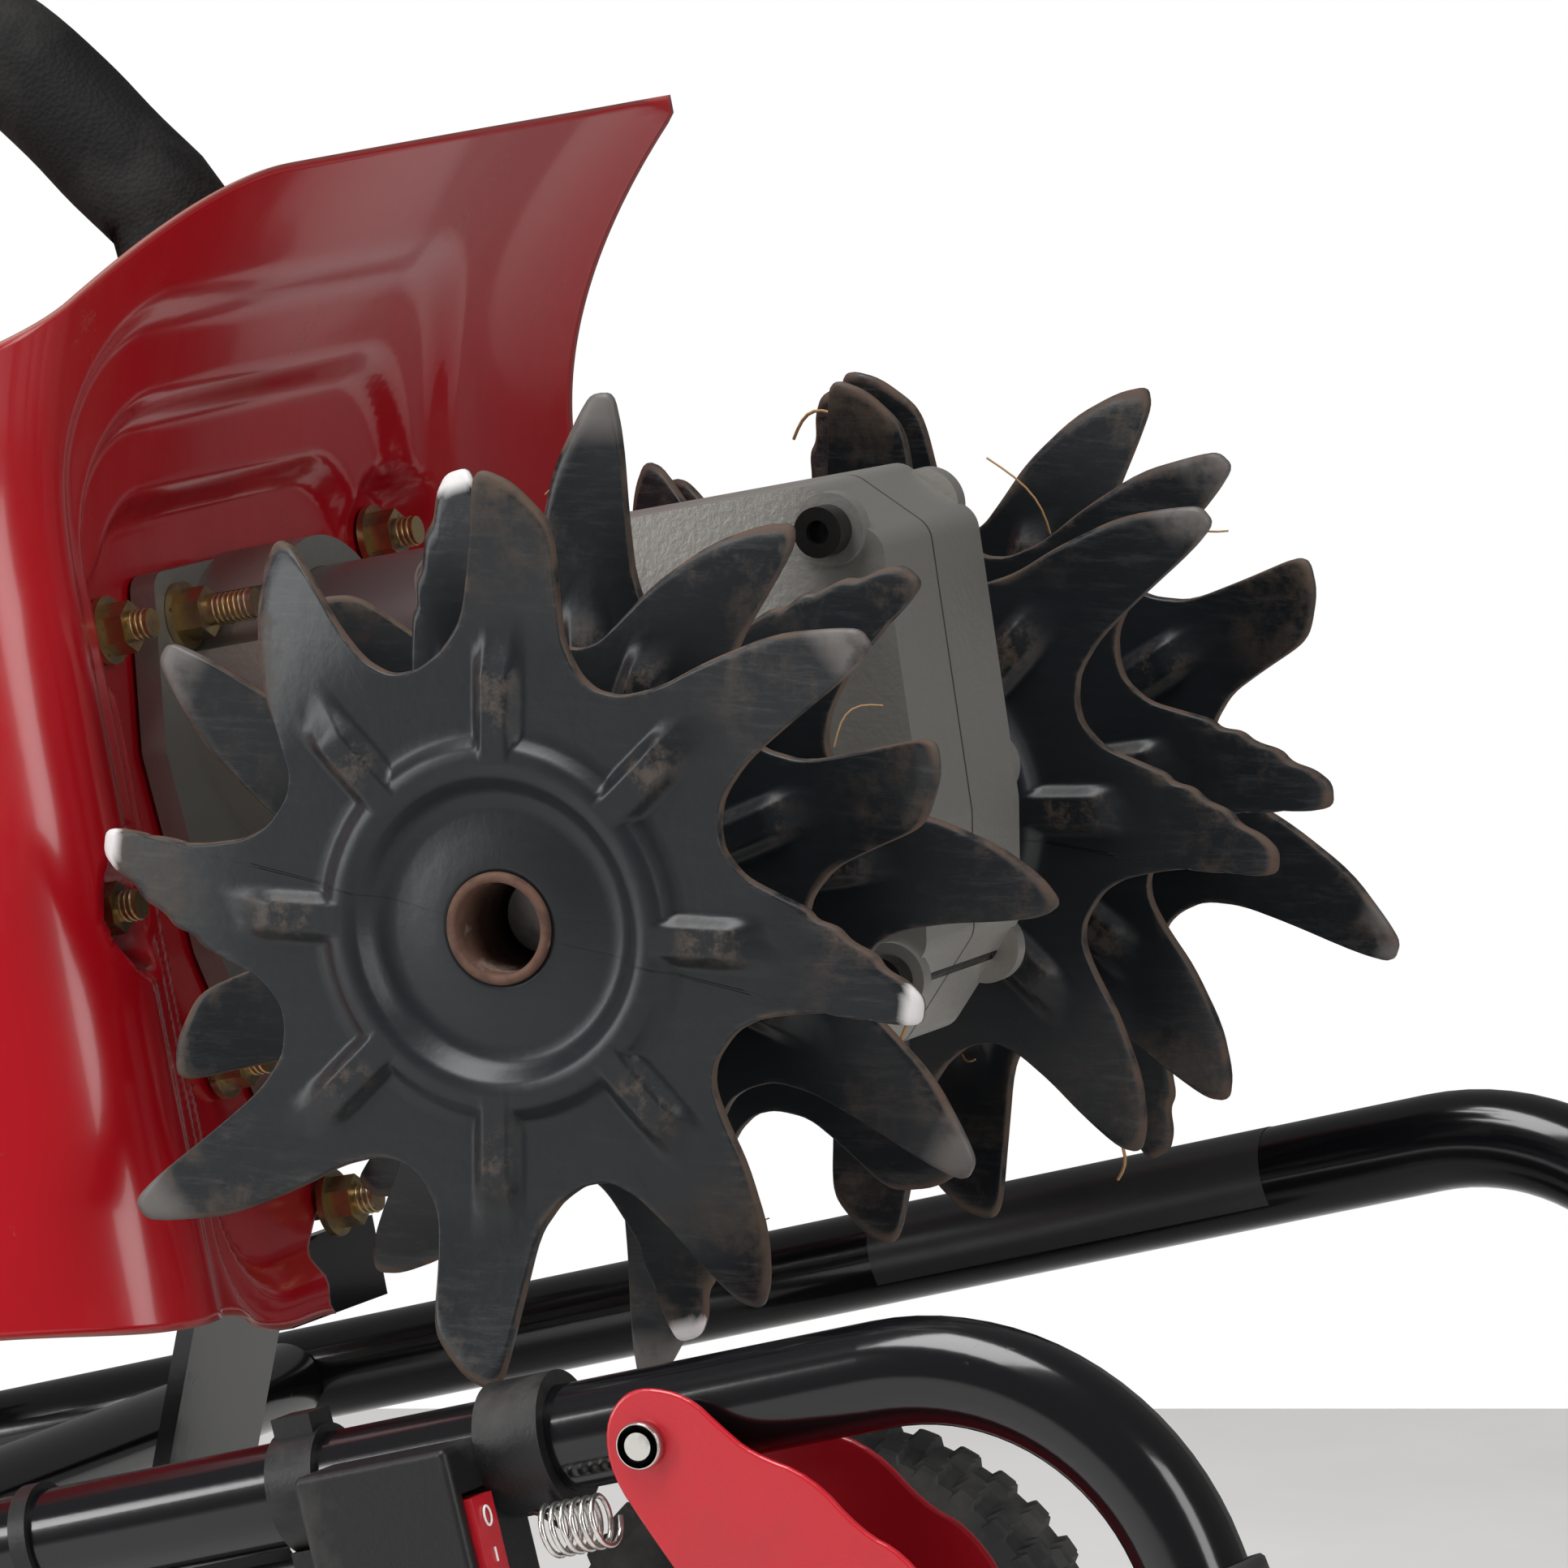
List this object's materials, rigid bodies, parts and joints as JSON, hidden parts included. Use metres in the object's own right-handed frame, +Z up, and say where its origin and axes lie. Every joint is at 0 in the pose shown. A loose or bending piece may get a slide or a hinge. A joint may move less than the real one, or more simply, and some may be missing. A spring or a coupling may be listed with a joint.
{
  "type": "tiller",
  "caption": "Small walk-behind garden tiller folded on its transport wheels: star tines on a worm gearbox, boom, shield, engine, carry handle and folding handlebar.",
  "frame": {"origin": "middle of the footprint on the floor, with the machine folded and tipped back on its wheels", "axes": "+X from the engine towards the tines, +Y along the tine axle to the machine left, +Z up; the boom rises 12 degrees from +X"},
  "size_m": [0.5932, 0.3712, 0.4652],
  "materials": {
    "red_enamel": "gloss",
    "cast_aluminium": "cast",
    "boom_grey": "satin",
    "zinc_yellow": "yellow zinc plated",
    "gasket": "matt",
    "dark_screw": "black oxide",
    "steel": "machined",
    "rubber": "matt",
    "tine_black": "worn black paint",
    "black_plastic": "moulded",
    "engine_alloy": "cast",
    "muffler_steel": "heat stained",
    "spark_boot": "matt",
    "tank_white": "translucent",
    "red_plastic": "moulded",
    "black_tube": "gloss powder coat",
    "foam": "closed cell foam",
    "cable": "sheathed",
    "bright_steel": "bright",
    "tyre_rubber": "lugged"
  },
  "bodies": {
    "frame": {"tine_shield": "red_enamel", "boom_flange": "cast_aluminium", "gearbox_right": "cast_aluminium", "gearbox_left": "cast_aluminium", "boom_tube": "boom_grey", "shield_studs": "zinc_yellow", "shield_nuts": "zinc_yellow", "gearbox_gasket": "gasket", "gearbox_screws": "dark_screw", "bearings": "steel", "wheel_axle": "steel", "pivot_bolts": "steel", "axle_seals": "rubber", "clutch_housing": "black_plastic", "air_filter_cover": "black_plastic", "crankcase": "engine_alloy", "cylinder": "engine_alloy", "muffler": "muffler_steel", "spark_plug": "spark_boot", "fuel_tank": "tank_white", "starter_housing": "red_plastic", "engine_shroud": "red_plastic", "carry_handle": "black_tube", "handle_bracket": "black_tube", "wheel_bracket": "black_tube", "carry_foam": "foam"},
    "tine_rotor": {"tine_axle": "steel", "worm_wheel": "steel", "hitch_pins": "dark_screw", "tine_1": "tine_black", "tine_2": "tine_black", "tine_3": "tine_black", "tine_4": "tine_black", "tine_5": "tine_black", "tine_6": "tine_black"},
    "drive_line": {"drive_shaft": "steel", "worm": "steel", "clutch_drum": "steel"},
    "handlebar": {"handle_tube_right": "black_tube", "handle_tube_left": "black_tube", "cross_tube": "black_tube", "grip_right": "foam", "grip_left": "foam", "switch_housing": "black_plastic", "cable_clips": "black_plastic", "throttle_cable": "cable", "lever_rivet": "bright_steel", "lever_spring": "bright_steel"},
    "lever": {"throttle_lever": "red_plastic"},
    "rocker": {"switch_rocker": "red_plastic"},
    "right_wheel": {"wheel_hub_right": "black_plastic", "wheel_tyre_right": "tyre_rubber"},
    "left_wheel": {"wheel_hub_left": "black_plastic", "wheel_tyre_left": "tyre_rubber"},
    "cap": {"fuel_cap": "black_plastic"},
    "starter_pull": {"starter_grip": "black_plastic"},
    "primer": {"primer_bulb": "rubber"},
    "choke": {"choke_lever": "black_plastic"},
    "right_knob": {"pivot_knob_right": "black_plastic"},
    "left_knob": {"pivot_knob_left": "black_plastic"}
  },
  "joints": [
    {"name": "tine_spin", "type": "hinge", "parent": "frame", "child": "tine_rotor", "pos_m": [0.08769, 0, 0.28008], "axis": [0, 1, 0], "continuous": true},
    {"name": "drive_spin", "type": "hinge", "parent": "frame", "child": "drive_line", "pos_m": [-0.02073, 0, 0.30917], "axis": [0.9781, 0, 0.2079], "continuous": true},
    {"name": "handlebar_fold", "type": "hinge", "parent": "frame", "child": "handlebar", "pos_m": [-0.21015, 0, 0.09409], "axis": [0, 1, 0], "range_deg": [0, 120]},
    {"name": "throttle_squeeze", "type": "hinge", "parent": "handlebar", "child": "lever", "pos_m": [0.13979, -0.158, 0.18279], "axis": [0, -1, 0], "range_deg": [0, 8], "stiffness_Nm_per_rad": 0.6, "springref_deg": -20.05},
    {"name": "stop_switch", "type": "hinge", "parent": "handlebar", "child": "rocker", "pos_m": [0.10318, -0.1765, 0.16078], "axis": [0, 1, 0], "range_deg": [-7, 7]},
    {"name": "right_wheel_spin", "type": "hinge", "parent": "frame", "child": "right_wheel", "pos_m": [0.06631, -0.094, 0.068], "axis": [0, 1, 0], "continuous": true},
    {"name": "left_wheel_spin", "type": "hinge", "parent": "frame", "child": "left_wheel", "pos_m": [0.06631, 0.094, 0.068], "axis": [0, 1, 0], "continuous": true},
    {"name": "fuel_cap_turn", "type": "hinge", "parent": "frame", "child": "cap", "pos_m": [-0.17438, -0.1, 0.18552], "axis": [0, -1, 0], "continuous": true},
    {"name": "starter_pull_out", "type": "slide", "parent": "frame", "child": "starter_pull", "axis": [-0.2079, 0, 0.9781], "range_m": [0, 0.3], "stiffness_N_per_m": 12, "springref_m": -0.5},
    {"name": "primer_press", "type": "slide", "parent": "frame", "child": "primer", "axis": [0, 1, 0], "range_m": [0, 0.004], "stiffness_N_per_m": 800, "springref_m": -0.002},
    {"name": "choke_turn", "type": "hinge", "parent": "frame", "child": "choke", "pos_m": [-0.13916, -0.106, 0.32285], "axis": [0, 1, 0], "range_deg": [0, 60]},
    {"name": "right_knob_turn", "type": "hinge", "parent": "frame", "child": "right_knob", "pos_m": [-0.21015, -0.175, 0.09409], "axis": [0, -1, 0], "continuous": true},
    {"name": "left_knob_turn", "type": "hinge", "parent": "frame", "child": "left_knob", "pos_m": [-0.21015, 0.175, 0.09409], "axis": [0, 1, 0], "continuous": true}
  ],
  "couplings": [
    {"joint": "drive_spin", "follows": "tine_spin", "ratio": 30}
  ]
}
